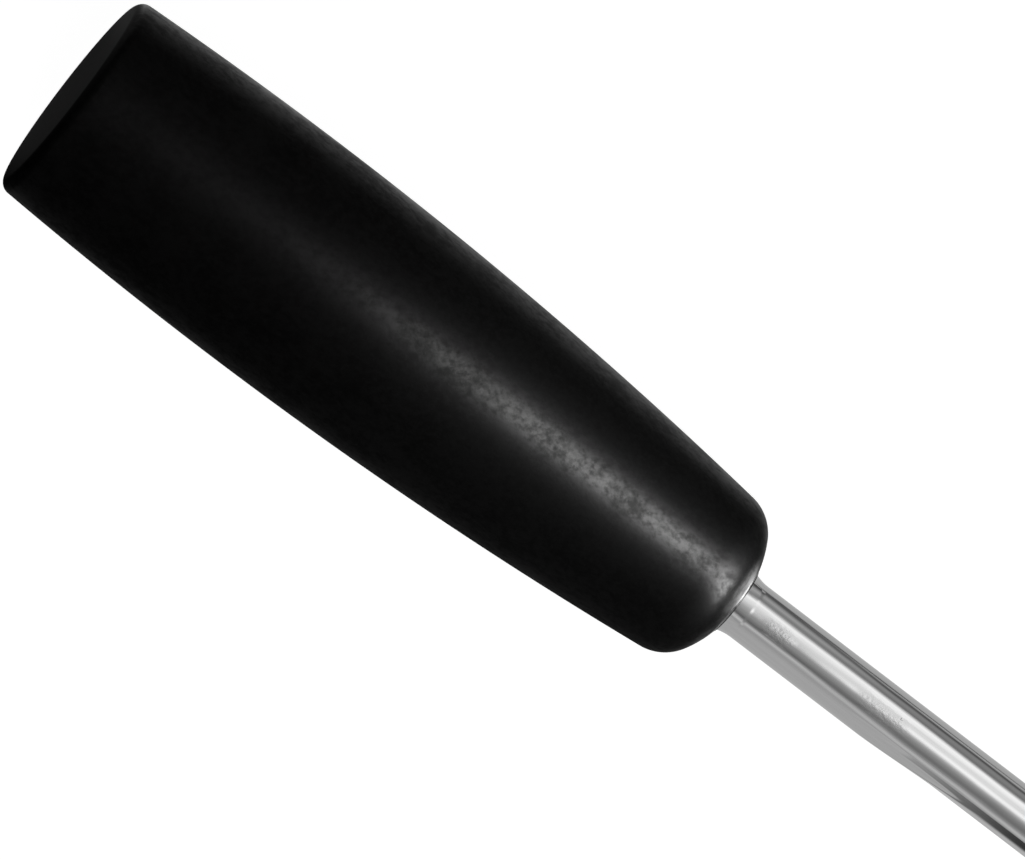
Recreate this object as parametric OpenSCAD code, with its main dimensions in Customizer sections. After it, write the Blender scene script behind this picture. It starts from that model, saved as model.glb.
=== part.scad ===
// Ring sizer stick: a tapered, graduated measuring mandrel carried on a polished steel rod with a hand grip.
// The stick lies along X: the butt face is at X = 0 and the tip points to +X. Lengths are in millimetres.

/* [Handle] */
// Length from the flat butt face to the mouth
handle_len = 107.1; // [95:0.1:120]
// Radius at the widest point of the barrel
crest_r = 15.7; // [15:0.05:17]
// Distance from the mouth back to the widest point
crest_back = 74.4; // [65:0.2:80]
// Radius of the arc that bows the barrel
barrel_bow = 606; // [560:2:700]
// Radius of the shoulder between the barrel and the nose face
shoulder_r = 6.2; // [5:0.05:7]
// Radius of the bow of the nose face
face_bow = 15; // [14:0.5:20]
// Backward slope of the nose face at the mouth, in degrees
face_slope = 12; // [9:1:14]
// Radius of the rounded edge of the butt
butt_round = 1.6; // [0.8:0.05:2]
// Radius of the bead that rims the mouth
lip_bead_r = 0.3; // [0.2:0.05:0.4]

/* [Rod] */
// Diameter of the polished rod
rod_d = 8; // [7.5:0.1:8.5]
// Length of the tang inside the handle
tang_len = 66; // [50:1:80]
// Extra radius of the flare where the rod leaves the handle
flare = 0.4; // [0.2:0.05:0.5]
// Length of that flare
flare_len = 2.2; // [1:0.1:3]
// Depth of the milled flat
flat_depth = 1.1; // [0.8:0.05:1.3]
// Distance from the mouth to the start of the flat's run-out
flat_start = 23; // [12:0.5:24]
// Length of the flat's run-out ramp
flat_ramp = 18; // [10:1:20]
// Length of bare rod between the handle and the collar
neck_len = 56; // [52:1:70]

/* [Mandrel] */
// Inner diameter of ring size 0
size_zero_d = 11.63; // [11.6:0.01:11.7]
// Growth in diameter per ring size
size_step_d = 0.8128; // [0.81:0.0001:0.82]
// Smallest ring size marked
first_size = 1; // [1:1:3]
// Largest ring size marked
last_size = 15; // [13:1:16]
// Distance along the mandrel between whole sizes
size_pitch = 12; // [11:0.25:14]
// Wall thickness of the tapered sleeve
sleeve_wall = 1.4; // [1.2:0.05:1.5]
// Width of an engraved line
line_w = 0.4; // [0.25:0.05:0.6]
// Depth of an engraved line
line_depth = 0.2; // [0.1:0.05:0.3]
// Angle that a half-size line spans
half_line_deg = 70; // [30:5:120]
// Angle of the middle of the scale from the top of the stick, towards -Y
scale_turn = 45; // [0:5:90]

/* [Hidden] */

// General
eps = 0.01;
fit_gap = 0.02;
glue_gap = 0.03;
lip_land = 0.35;
round_over = 0.004;
round_fn = 128;
bow_fn = 1440;
rod_r = rod_d / 2;

// Stations along the stick
mouth_x = handle_len;
collar_x = mouth_x + neck_len;

// Retaining ring, for an 8 mm shaft
ring_t = 0.8;
ring_w = 1.5;
ring_groove_depth = 0.2;
ring_groove_w = 0.9;
ring_lug_r = 1.25;
ring_hole_r = 0.6;
ring_gap_w = 1.6;
ring_lug_deg = 17;
ring_inner_r = rod_r - ring_groove_depth;
ring_outer_r = ring_inner_r + ring_w;
ring_lug_at_r = ring_inner_r + ring_lug_r + 0.5;

// Collar
collar_recess_r = 7.6;
collar_recess_depth = 1.3;
collar_front_r = 9;
collar_cone_len = 5;
collar_len = 14;
collar_spigot_len = 9;
collar_seat_x = collar_x + collar_recess_depth;
ring_x = collar_seat_x - ring_t;

// Grub screw, M4 by 8
grub_r = 2;
grub_len = 8;
grub_setback = 9;
grub_socket_af = 2;
grub_socket_depth = 2.2;
grub_edge = 0.3;
grub_cup_r = 1.2;
grub_cup_depth = 0.5;
grub_cup_end_r = 0.2;
grub_x = collar_x + grub_setback;

// Sleeve
sleeve_x = collar_x + collar_len;
end_margin = 0.5;
sleeve_len = (last_size - first_size + 2 * end_margin) * size_pitch;
sleeve_end_x = sleeve_x + sleeve_len;
sleeve_wide_r = ring_r(last_size + end_margin);
sleeve_tip_r = ring_r(first_size - end_margin);

// Tip: bush, spring washer and domed nut, M5
stud_r = 2.5;
stud_spare = 0.6;
stud_relief = 1;
bush_spigot_len = 9;
bush_flange_t = 2.4;
bush_edge = 0.7;
shoulder_x = sleeve_end_x - bush_spigot_len - stud_relief;
washer_t = 1.2;
washer_inner_r = 2.6;
washer_outer_r = 4.25;
washer_slit_w = 0.7;
washer_slit_lean = 20;
nut_af = 8;
nut_hex_h = 4.6;
nut_h = 9.6;
nut_dome_r = 3.75;
nut_bore_depth = 7.4;
nut_chamfer_deg = 30;
washer_x = sleeve_end_x + bush_flange_t;
nut_x = washer_x + washer_t;
stud_end_x = nut_x + nut_bore_depth - stud_spare;

// Tang
tang_groove_count = 5;
tang_groove_pitch = 9;
tang_groove_w = 2;
tang_groove_depth = 0.35;
tang_edge = 0.8;
socket_spare = 1.5;

// Inner radius of a ring of the given size
function ring_r(size) = (size_zero_d + size_step_d * size) / 2;

// Distance along the stick at which a ring of the given size stops
function size_x(size) = sleeve_end_x - (size - first_size + end_margin) * size_pitch;

// Outer radius of the sleeve at a distance along the stick
function sleeve_r(x) = sleeve_wide_r + (sleeve_tip_r - sleeve_wide_r) * (x - sleeve_x) / sleeve_len;

// Point where two circles cross, on the side given by turn (1 or -1)
function crossing(ca, ra, cb, rb, turn) =
    let (gap = norm(cb - ca), u = (cb - ca) / gap)
    let (along = (ra * ra - rb * rb + gap * gap) / (2 * gap))
    let (across = sqrt(ra * ra - along * along))
    ca + along * u + turn * across * [-u.y, u.x];

// Handle outline: a point is [radius, distance along the stick]
barrel_c = [crest_r - barrel_bow, mouth_x - crest_back];
mouth_point = [rod_r + lip_land, mouth_x];
face_c = mouth_point - face_bow * [sin(face_slope), cos(face_slope)];
shoulder_c = crossing(barrel_c, barrel_bow - shoulder_r, face_c, face_bow - shoulder_r, 1);
butt_c = [barrel_c.x + sqrt(pow(barrel_bow - butt_round, 2) - pow(butt_round - barrel_c.y, 2)), butt_round];

// Turns a shape built along Z so that it lies along X, starting at the given distance
module along_x(x = 0) {
    translate([x, 0, 0])
        rotate([0, 90, 0])
            children();
}

// Tube built along Z
module tube(outer_r, inner_r, h) {
    difference() {
        cylinder(r = outer_r, h = h, $fn = round_fn);
        translate([0, 0, -1])
            cylinder(r = inner_r, h = h + 2, $fn = round_fn);
    }
}

// Wedge of the outline outside a rounded corner: from the corner's centre past its two tangent points
module corner_wedge(c, direction_a, direction_b, r) {
    reach = 3 * r;
    polygon([c, c + reach * direction_a, c + reach * (direction_a + direction_b), c + reach * direction_b]);
}

// Half section of the handle; its rounding discs stand a hair proud, so that each arc crosses the next
module handle_outline() {
    shoulder_a = (shoulder_c - barrel_c) / norm(shoulder_c - barrel_c);
    shoulder_b = (shoulder_c - face_c) / norm(shoulder_c - face_c);
    butt_a = (butt_c - barrel_c) / norm(butt_c - barrel_c);
    intersection() {
        square([2 * crest_r, handle_len]);
        union() {
            difference() {
                intersection() {
                    translate(barrel_c)
                        circle(r = barrel_bow, $fn = bow_fn);
                    union() {
                        translate(face_c)
                            circle(r = face_bow, $fn = bow_fn);
                        translate([-1, -1])
                            square([2 * crest_r + 1, face_c.y + 1]);
                    }
                }
                corner_wedge(shoulder_c, shoulder_a, shoulder_b, shoulder_r);
                corner_wedge(butt_c, butt_a, [0, -1], butt_round);
            }
            translate(shoulder_c)
                circle(r = shoulder_r + round_over, $fn = round_fn);
            translate(butt_c)
                circle(r = butt_round + round_over, $fn = round_fn);
        }
    }
}

// One-piece grip with a blind socket for the rod's tang
module handle() {
    bore_r = rod_r + glue_gap;
    lip_r = bore_r + lip_land + lip_bead_r;
    color([0.03, 0.03, 0.03])
        along_x()
            difference() {
                union() {
                    rotate_extrude($fn = round_fn)
                        handle_outline();
                    rotate_extrude($fn = round_fn)
                        translate([lip_r, mouth_x - lip_bead_r])
                            circle(r = lip_bead_r, $fn = 32);
                }
                translate([0, 0, mouth_x - tang_len - socket_spare])
                    cylinder(r = bore_r, h = tang_len + socket_spare + 1, $fn = round_fn);
            }
}

// Cutter for the milled flat on the -Y side of the rod, with its ramp
module flat_cutter() {
    flat_y = rod_r - flat_depth;
    start_x = mouth_x + flat_start;
    end_x = collar_x + collar_len - 1;
    translate([0, 0, -2 * rod_r])
        linear_extrude(height = 4 * rod_r)
            polygon([
                [start_x, -rod_r - eps],
                [start_x + flat_ramp, -flat_y],
                [end_x, -flat_y],
                [end_x, -2 * rod_r],
                [start_x, -2 * rod_r]
            ]);
}

// Polished rod: grooved tang, flare, flat, ring groove and threaded stud
module core_rod() {
    tang_x = mouth_x - tang_len;
    color([0.75, 0.75, 0.77])
        difference() {
            union() {
                along_x(tang_x)
                    cylinder(r1 = rod_r - tang_edge, r2 = rod_r, h = tang_edge, $fn = round_fn);
                along_x(tang_x + tang_edge)
                    cylinder(r = rod_r, h = shoulder_x - tang_x - tang_edge, $fn = round_fn);
                along_x(mouth_x)
                    cylinder(r1 = rod_r + flare, r2 = rod_r, h = flare_len, $fn = round_fn);
                along_x(shoulder_x - eps)
                    cylinder(r = stud_r, h = stud_end_x - shoulder_x - tang_edge + eps, $fn = round_fn);
                along_x(stud_end_x - tang_edge - eps)
                    cylinder(r1 = stud_r, r2 = stud_r - tang_edge, h = tang_edge, $fn = round_fn);
            }
            for (i = [1 : tang_groove_count])
                along_x(tang_x + i * tang_groove_pitch)
                    tube(rod_r + 1, rod_r - tang_groove_depth, tang_groove_w);
            along_x(collar_seat_x - ring_groove_w)
                tube(rod_r + 1, ring_inner_r, ring_groove_w);
            flat_cutter();
        }
}

// Places its children at the two eyes of the circlip, on either side of the gap
module at_ring_eyes() {
    for (turn = [180 - ring_lug_deg, 180 + ring_lug_deg])
        rotate([0, 0, turn])
            translate([ring_lug_at_r, 0, 0])
                children();
}

// External circlip with two eyes beside its gap, which points up
module retaining_ring() {
    color([0.35, 0.35, 0.37])
        along_x(ring_x)
            difference() {
                union() {
                    cylinder(r = ring_outer_r, h = ring_t, $fn = round_fn);
                    at_ring_eyes()
                        cylinder(r = ring_lug_r, h = ring_t, $fn = 48);
                }
                translate([0, 0, -1])
                    cylinder(r = ring_inner_r, h = ring_t + 2, $fn = round_fn);
                translate([-2 * rod_r, -ring_gap_w / 2, -1])
                    cube([2 * rod_r, ring_gap_w, ring_t + 2]);
                at_ring_eyes()
                    translate([0, 0, -1])
                        cylinder(r = ring_hole_r, h = ring_t + 2, $fn = 32);
            }
}

// Collar: conical front with a recess for the circlip, a plain land for the grub screw, and a spigot
module base_collar() {
    bore_r = rod_r + fit_gap;
    spigot_r = sleeve_wide_r - sleeve_wall - fit_gap;
    spigot_end_r = sleeve_r(sleeve_x + collar_spigot_len) - sleeve_wall - fit_gap;
    color([0.62, 0.63, 0.65])
        difference() {
            union() {
                along_x(collar_x)
                    cylinder(r1 = collar_front_r, r2 = sleeve_wide_r, h = collar_cone_len, $fn = round_fn);
                along_x(collar_x + collar_cone_len)
                    cylinder(r = sleeve_wide_r, h = collar_len - collar_cone_len, $fn = round_fn);
                along_x(sleeve_x)
                    cylinder(r1 = spigot_r, r2 = spigot_end_r, h = collar_spigot_len, $fn = round_fn);
            }
            along_x(collar_x - 1)
                cylinder(r = bore_r, h = collar_len + collar_spigot_len + 2, $fn = round_fn);
            along_x(collar_x - 1)
                cylinder(r = collar_recess_r, h = collar_recess_depth + 1, $fn = round_fn);
            translate([grub_x, 0, 0])
                rotate([90, 0, 0])
                    cylinder(r = grub_r + fit_gap, h = sleeve_wide_r + 1, $fn = 64);
        }
}

// Socket set screw, standing on the rod's flat
module grub_screw() {
    color([0.16, 0.16, 0.17])
        translate([grub_x, -(rod_r - flat_depth), 0])
            rotate([90, 0, 0])
                difference() {
                    union() {
                        cylinder(r1 = grub_r - 2 * grub_edge, r2 = grub_r, h = 2 * grub_edge, $fn = 64);
                        translate([0, 0, 2 * grub_edge])
                            cylinder(r = grub_r, h = grub_len - 3 * grub_edge, $fn = 64);
                        translate([0, 0, grub_len - grub_edge])
                            cylinder(r1 = grub_r, r2 = grub_r - grub_edge, h = grub_edge, $fn = 64);
                    }
                    translate([0, 0, grub_len - grub_socket_depth])
                        cylinder(d = grub_socket_af / cos(30), h = grub_socket_depth + 1, $fn = 6);
                    translate([0, 0, -eps])
                        cylinder(r1 = grub_cup_r, r2 = grub_cup_end_r, h = grub_cup_depth + eps, $fn = 48);
                }
}

// Ring-shaped cutter for a size line, spanning the given angle about the middle of the scale
module size_line(size, span) {
    x = size_x(size);
    r = sleeve_r(x);
    along_x(x)
        rotate([0, 0, 180 + scale_turn - span / 2])
            rotate_extrude(angle = span, $fn = round_fn)
                translate([r - line_depth, -line_w / 2])
                    square([2 * line_depth + 1, line_w]);
}

// Hollow tapered measuring sleeve, engraved with a full line at each size and a short one at each half size
module mandrel_sleeve() {
    color([0.78, 0.79, 0.8])
        difference() {
            along_x(sleeve_x)
                cylinder(r1 = sleeve_wide_r, r2 = sleeve_tip_r, h = sleeve_len, $fn = round_fn);
            along_x(sleeve_x)
                translate([0, 0, -eps])
                    cylinder(
                        r1 = sleeve_wide_r - sleeve_wall,
                        r2 = sleeve_tip_r - sleeve_wall,
                        h = sleeve_len + 2 * eps,
                        $fn = round_fn
                    );
            for (size = [first_size : last_size])
                size_line(size, 360);
            for (size = [first_size : last_size - 1])
                size_line(size + 0.5, half_line_deg);
        }
}

// Flanged plug in the narrow end of the sleeve
module tip_bush() {
    flange_r = sleeve_tip_r;
    spigot_r = sleeve_tip_r - sleeve_wall - fit_gap;
    spigot_in_r = sleeve_r(sleeve_end_x - bush_spigot_len) - sleeve_wall - fit_gap;
    color([0.62, 0.63, 0.65])
        difference() {
            union() {
                along_x(sleeve_end_x - bush_spigot_len)
                    cylinder(r1 = spigot_in_r, r2 = spigot_r, h = bush_spigot_len, $fn = round_fn);
                along_x(sleeve_end_x)
                    cylinder(r = flange_r, h = bush_flange_t - bush_edge, $fn = round_fn);
                along_x(sleeve_end_x + bush_flange_t - bush_edge)
                    cylinder(r1 = flange_r, r2 = flange_r - bush_edge, h = bush_edge, $fn = round_fn);
            }
            along_x(sleeve_end_x - bush_spigot_len - 1)
                cylinder(r = stud_r + fit_gap, h = bush_spigot_len + bush_flange_t + 2, $fn = round_fn);
        }
}

// Split spring washer, pressed flat
module spring_washer() {
    color([0.4, 0.4, 0.42])
        along_x(washer_x)
            difference() {
                tube(washer_outer_r, washer_inner_r, washer_t);
                rotate([washer_slit_lean, 0, 0])
                    translate([-washer_outer_r - 1, -washer_slit_w / 2, -washer_t])
                        cube([washer_outer_r + 1, washer_slit_w, 4 * washer_t]);
            }
}

// Domed hexagon nut with a blind bore
module tip_nut() {
    corner_r = nut_af / 2 / cos(30);
    chamfer_h = (corner_r - nut_af / 2) * tan(nut_chamfer_deg);
    color([0.72, 0.72, 0.74])
        along_x(nut_x)
            difference() {
                union() {
                    intersection() {
                        cylinder(r = corner_r, h = nut_hex_h, $fn = 6);
                        union() {
                            cylinder(r1 = nut_af / 2, r2 = corner_r, h = chamfer_h, $fn = round_fn);
                            translate([0, 0, chamfer_h])
                                cylinder(r = corner_r + eps, h = nut_hex_h - 2 * chamfer_h, $fn = round_fn);
                            translate([0, 0, nut_hex_h - chamfer_h])
                                cylinder(r1 = corner_r, r2 = nut_af / 2, h = chamfer_h, $fn = round_fn);
                        }
                    }
                    cylinder(r = nut_dome_r, h = nut_h - nut_dome_r, $fn = round_fn);
                    translate([0, 0, nut_h - nut_dome_r])
                        sphere(r = nut_dome_r, $fn = round_fn);
                }
                translate([0, 0, -1])
                    cylinder(r = stud_r + fit_gap, h = nut_bore_depth + 1, $fn = round_fn);
            }
}

handle();
core_rod();
retaining_ring();
base_collar();
grub_screw();
mandrel_sleeve();
tip_bush();
spring_washer();
tip_nut();
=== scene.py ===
import math

import bmesh
import bpy
from mathutils import Matrix, Vector


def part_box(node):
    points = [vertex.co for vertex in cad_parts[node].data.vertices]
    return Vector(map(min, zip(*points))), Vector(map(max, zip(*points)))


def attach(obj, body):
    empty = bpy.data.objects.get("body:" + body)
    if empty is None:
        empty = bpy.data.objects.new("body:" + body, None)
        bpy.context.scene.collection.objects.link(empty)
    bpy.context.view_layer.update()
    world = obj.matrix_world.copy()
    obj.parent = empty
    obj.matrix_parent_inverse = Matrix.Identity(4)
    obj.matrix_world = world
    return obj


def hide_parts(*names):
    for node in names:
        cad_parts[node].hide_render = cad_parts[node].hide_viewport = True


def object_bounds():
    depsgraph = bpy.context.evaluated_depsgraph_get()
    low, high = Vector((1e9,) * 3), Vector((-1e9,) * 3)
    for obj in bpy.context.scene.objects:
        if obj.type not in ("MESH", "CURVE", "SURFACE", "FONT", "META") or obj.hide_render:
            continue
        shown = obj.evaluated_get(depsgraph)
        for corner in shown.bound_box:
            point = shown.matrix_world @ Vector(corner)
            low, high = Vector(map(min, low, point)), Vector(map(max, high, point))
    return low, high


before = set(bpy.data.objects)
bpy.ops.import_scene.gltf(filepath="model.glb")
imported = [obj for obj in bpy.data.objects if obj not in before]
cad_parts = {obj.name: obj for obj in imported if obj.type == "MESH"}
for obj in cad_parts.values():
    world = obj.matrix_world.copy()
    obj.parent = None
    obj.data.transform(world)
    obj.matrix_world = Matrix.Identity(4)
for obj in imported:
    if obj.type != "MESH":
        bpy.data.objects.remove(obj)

CAD_LOW, CAD_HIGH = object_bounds()
BODY = "root"
MM = 0.001

# ---------------------------------------------------------------- sizes, in mm along the stick


def low_x(node):
    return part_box(node)[0].x / MM


def high_x(node):
    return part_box(node)[1].x / MM


def radius_of(node):
    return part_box(node)[1].z / MM


MOUTH_X = high_x("handle")
CREST_R = radius_of("handle")
CREST_BACK = 74.4
BARREL_BOW = 606.0
SHOULDER_R = 6.2
FACE_BOW = 15.0
FACE_SLOPE = math.radians(12)
BUTT_ROUND = 1.6
LIP_BEAD_R = 0.3
LIP_LAND = 0.35
LIP_START = math.radians(62)
LIP_END = math.radians(-50)
LIP_RISE = 0.94
BORE_EDGE = 0.08

ROD_R = 4.0
FLARE = radius_of("core_rod") - ROD_R
FLARE_LEN = 2.2
TANG_X = low_x("core_rod")
STUD_END_X = high_x("core_rod")
STUD_R = 2.5
TANG_EDGE = 0.8
TANG_GROOVES = 5
TANG_GROOVE_PITCH = 9.0
TANG_GROOVE_W = 2.0
TANG_GROOVE_DEPTH = 0.35
FLAT_DEPTH = 1.1
FLAT_START = 23.0
FLAT_RAMP = 18.0
CLIP_GROOVE_W = 0.9
CLIP_GROOVE_R = 3.8

COLLAR_X = low_x("base_collar")
SLEEVE_X = low_x("mandrel_sleeve")
SLEEVE_END_X = high_x("mandrel_sleeve")
SLEEVE_WIDE_R = radius_of("mandrel_sleeve")
SLEEVE_TIP_R = radius_of("tip_bush")
SLEEVE_WALL = 1.4
FIRST_SIZE = 1
LAST_SIZE = 15
END_MARGIN = 0.5
SIZE_PITCH = (SLEEVE_END_X - SLEEVE_X) / (LAST_SIZE - FIRST_SIZE + 2 * END_MARGIN)
LINE_W = 0.4
LINE_DEPTH = 0.2
LINE_LIP = 0.05
FILL_FROM_DEPTH = 0.07
FILL_SPREAD = 0.02
CUTTER_TOP = 0.6
SCALE_TURN = math.radians(45)
HALF_LINE_SPAN = math.radians(70)
COLLAR_CONE_LEN = 5.0
COLLAR_FRONT_R = 9.0
COLLAR_RECESS_R = 7.6
COLLAR_RECESS_DEPTH = 1.3
COLLAR_SPIGOT_LEN = 9.0
COLLAR_EDGE = 0.15
GRUB_X = (low_x("grub_screw") + high_x("grub_screw")) / 2
GRUB_R = 2.0
GRUB_HOLE_EDGE = 0.25
BUSH_SPIGOT_LEN = 9.0
BUSH_EDGE = 0.7
BUSH_SOFT_EDGE = 0.08
BUSH_END_X = high_x("tip_bush")
FIT_GAP = 0.02
GLUE_GAP = 0.03
SOCKET_X = TANG_X - 1.5
FLAT_END_X = SLEEVE_X - 1
SHOULDER_X = SLEEVE_END_X - BUSH_SPIGOT_LEN - 1.0


def sleeve_r(x):
    share = (x - SLEEVE_X) / (SLEEVE_END_X - SLEEVE_X)
    return SLEEVE_WIDE_R + (SLEEVE_TIP_R - SLEEVE_WIDE_R) * share


def size_x(size):
    return SLEEVE_END_X - (size - FIRST_SIZE + END_MARGIN) * SIZE_PITCH


# ---------------------------------------------------------------- mesh helpers


SHARP_ANGLE = math.radians(32)


def new_piece(name, bm, materials, node):
    """Makes an object from a bmesh built in mm, in place of a CAD node, and gives it smooth shading."""
    bm.transform(Matrix.Scale(MM, 4))
    bmesh.ops.recalc_face_normals(bm, faces=bm.faces)
    mesh = bpy.data.meshes.new(name)
    bm.to_mesh(mesh)
    bm.free()
    obj = bpy.data.objects.new(name, mesh)
    bpy.context.scene.collection.objects.link(obj)
    for material in materials:
        mesh.materials.append(material)
    mesh.shade_smooth()
    mesh.set_sharp_from_angle(angle=SHARP_ANGLE)
    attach(obj, BODY)
    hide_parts(node)
    return obj


def ring_points(x, r, count):
    """One ring of points about X, starting at the bottom (-Z)."""
    points = []
    for i in range(count):
        a = 2 * math.pi * i / count
        points.append(Vector((x, -r * math.sin(a), -r * math.cos(a))))
    return points


def lathe(bm, profile, count=192):
    """Turns a list of (x, radius) about X. A radius of 0 closes the shape on the axis."""
    rings = []
    for x, r in profile:
        if r < 1e-6:
            rings.append([bm.verts.new((x, 0, 0))])
        else:
            rings.append([bm.verts.new(p) for p in ring_points(x, r, count)])
    for a, b in zip(rings, rings[1:] + ([] if len(rings[0]) == 1 else rings[:1])):
        skin(bm, a, b)


def skin(bm, a, b):
    """Faces between two rings, either of which may be a single point."""
    count = max(len(a), len(b))
    for i in range(count):
        j = (i + 1) % count
        if len(a) == 1:
            bm.faces.new((a[0], b[i], b[j]))
        elif len(b) == 1:
            bm.faces.new((a[i], a[j], b[0]))
        else:
            bm.faces.new((a[i], a[j], b[j], b[i]))


def arc(cx, cr, radius, start, end, steps):
    """Points of an arc in the (x, radius) plane; angles are measured from +X towards +radius."""
    points = []
    for i in range(steps + 1):
        a = start + (end - start) * i / steps
        points.append((cx + radius * math.cos(a), cr + radius * math.sin(a)))
    return points


def softened(profile, width):
    """The same profile with each corner cut by a small bevel of the given width."""
    out = [profile[0]]
    for before, corner, after in zip(profile, profile[1:], profile[2:]):
        p, c, n = Vector(before), Vector(corner), Vector(after)
        back, ahead = p - c, n - c
        w = min(width, back.length / 3, ahead.length / 3)
        out.append(tuple(c + back.normalized() * w))
        out.append(tuple(c + (back.normalized() + ahead.normalized()) * w * 0.3))
        out.append(tuple(c + ahead.normalized() * w))
    out.append(profile[-1])
    return out


def circle_crossing(ca, ra, cb, rb):
    """The crossing of two circles that lies nearer to the tip."""
    gap = (cb - ca).length
    u = (cb - ca) / gap
    along = (ra * ra - rb * rb + gap * gap) / (2 * gap)
    across = math.sqrt(ra * ra - along * along)
    side = Vector((-u.y, u.x)) * across
    p, q = ca + u * along + side, ca + u * along - side
    return p if p.x > q.x else q


# ---------------------------------------------------------------- materials


def new_material(name):
    mat = bpy.data.materials.new(name)
    mat.use_nodes = True
    tree = mat.node_tree
    shader = tree.nodes["Principled BSDF"]
    coords = tree.nodes.new("ShaderNodeTexCoord")
    return mat, tree, shader, coords.outputs["Object"]


def mapped(tree, coords, scale):
    node = tree.nodes.new("ShaderNodeMapping")
    node.inputs["Scale"].default_value = scale
    tree.links.new(coords, node.inputs["Vector"])
    return node.outputs["Vector"]


def noise_tex(tree, vector, scale, detail=4.0, rough=0.55):
    node = tree.nodes.new("ShaderNodeTexNoise")
    node.inputs["Scale"].default_value = scale
    node.inputs["Detail"].default_value = detail
    node.inputs["Roughness"].default_value = rough
    tree.links.new(vector, node.inputs["Vector"])
    return node.outputs["Fac"]


def ramp(tree, value, stops):
    node = tree.nodes.new("ShaderNodeValToRGB")
    while len(node.color_ramp.elements) < len(stops):
        node.color_ramp.elements.new(0.5)
    for element, (pos, level) in zip(node.color_ramp.elements, stops):
        element.position = pos
        element.color = (level, level, level, 1)
    tree.links.new(value, node.inputs["Fac"])
    return node.outputs["Color"]


def math_node(tree, op, a, b=None):
    node = tree.nodes.new("ShaderNodeMath")
    node.operation = op
    for socket, value in zip(node.inputs, (a, b)):
        if value is None:
            continue
        if isinstance(value, (int, float)):
            socket.default_value = value
        else:
            tree.links.new(value, socket)
    return node.outputs["Value"]


def times(tree, a, b):
    return math_node(tree, "MULTIPLY", a, b)


def plus(tree, a, b):
    return math_node(tree, "ADD", a, b)


def distance_from(tree, value, centre):
    return math_node(tree, "ABSOLUTE", math_node(tree, "SUBTRACT", value, centre))


def bump(tree, shader, height, strength, distance, normal=None):
    node = tree.nodes.new("ShaderNodeBump")
    node.inputs["Strength"].default_value = strength
    node.inputs["Distance"].default_value = distance
    tree.links.new(height, node.inputs["Height"])
    if normal is not None:
        tree.links.new(normal, node.inputs["Normal"])
    tree.links.new(node.outputs["Normal"], shader.inputs["Normal"])
    return node.outputs["Normal"]


def span(tree, value, low, high):
    """Runs smoothly from 0 at low to 1 at high; low may be the larger of the two."""
    node = tree.nodes.new("ShaderNodeMapRange")
    node.interpolation_type = "SMOOTHSTEP"
    flip = low > high
    node.inputs["From Min"].default_value = high if flip else low
    node.inputs["From Max"].default_value = low if flip else high
    node.inputs["To Min"].default_value = 1.0 if flip else 0.0
    node.inputs["To Max"].default_value = 0.0 if flip else 1.0
    tree.links.new(value, node.inputs["Value"])
    return node.outputs["Result"]


def blend(tree, share, low, high):
    """Number that goes from low to high as share goes from 0 to 1."""
    node = tree.nodes.new("ShaderNodeMix")
    for socket, value in (("Factor", share), ("A", low), ("B", high)):
        if isinstance(value, (int, float)):
            node.inputs[socket].default_value = value
        else:
            tree.links.new(value, node.inputs[socket])
    return node.outputs["Result"]


def axis_parts(tree, vector):
    node = tree.nodes.new("ShaderNodeSeparateXYZ")
    tree.links.new(vector, node.inputs["Vector"])
    return node.outputs


def specks(tree, coords, scale, radius, rarity):
    """1 inside small round specks, one in some cells of a Voronoi pattern, and 0 elsewhere."""
    node = tree.nodes.new("ShaderNodeTexVoronoi")
    node.inputs["Scale"].default_value = scale
    tree.links.new(coords, node.inputs["Vector"])
    chosen = math_node(tree, "GREATER_THAN", axis_parts(tree, node.outputs["Color"])["X"], rarity)
    return times(tree, span(tree, node.outputs["Distance"], radius, radius * 0.5), chosen)


NOSE_SPAN = (0.05, 0.11)
HANDLED_SPAN = (0.028, 0.076)
BUTT_NORMAL_SPAN = (-0.5, -0.95)
LIP_SPAN = (MOUTH_X * MM - 0.0007, MOUTH_X * MM - 0.0004)
CLOUD_SHARE = 0.35
SMUDGE_SPAN = (0.38, 0.62)
GRAIN_SHARE = 0.2


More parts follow.
